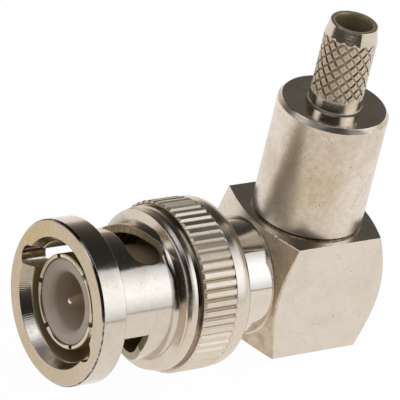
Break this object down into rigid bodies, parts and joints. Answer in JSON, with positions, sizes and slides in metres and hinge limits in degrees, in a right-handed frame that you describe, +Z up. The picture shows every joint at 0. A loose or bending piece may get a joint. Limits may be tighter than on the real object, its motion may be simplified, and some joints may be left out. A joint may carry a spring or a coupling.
{
  "type": "right angle bnc connector",
  "caption": "Right angle BNC plug with a knurled bayonet coupling nut, a square elbow block and a diamond knurled crimp stem for coaxial cable.",
  "frame": {"origin": "centre of the coupling nut's front face, on the plug axis", "axes": "-X out of the plug's mouth, +Z up along the cable axis, which crosses the plug axis 25 mm behind the origin"},
  "size_m": [0.0309, 0.015, 0.0321],
  "materials": {
    "nut_plate": "bright nickel plate",
    "contact_plate": "satin nickel plate",
    "body_plate": "satin nickel plate",
    "stem_plate": "nickel plate",
    "pin_plate": "nickel plate",
    "spring": "spring strip",
    "gasket": "silicone",
    "insulator": "white fluoropolymer"
  },
  "bodies": {
    "plug_body": {"outer_contact": "contact_plate", "front_insulator": "insulator", "centre_contact": "pin_plate", "face_gasket": "gasket", "wave_washer": "spring", "retaining_ring": "spring", "elbow_block": "body_plate", "rear_cap": "body_plate", "elbow_insulator": "insulator", "cable_barrel": "body_plate", "crimp_stem": "stem_plate", "stem_insulator": "insulator"},
    "draw_washer": {"thrust_washer": "spring"},
    "nut": {"coupling_nut": "nut_plate"}
  },
  "joints": [
    {"name": "nut_draw", "type": "slide", "parent": "plug_body", "child": "draw_washer", "axis": [-1, 0, 0], "range_m": [0, 0.0006], "stiffness_N_per_m": 8000, "springref_m": -0.001, "deforming": ["wave_washer"]},
    {"name": "nut_spin", "type": "hinge", "parent": "draw_washer", "child": "nut", "pos_m": [0.0134, 0, 0], "axis": [1, 0, 0], "continuous": true}
  ]
}
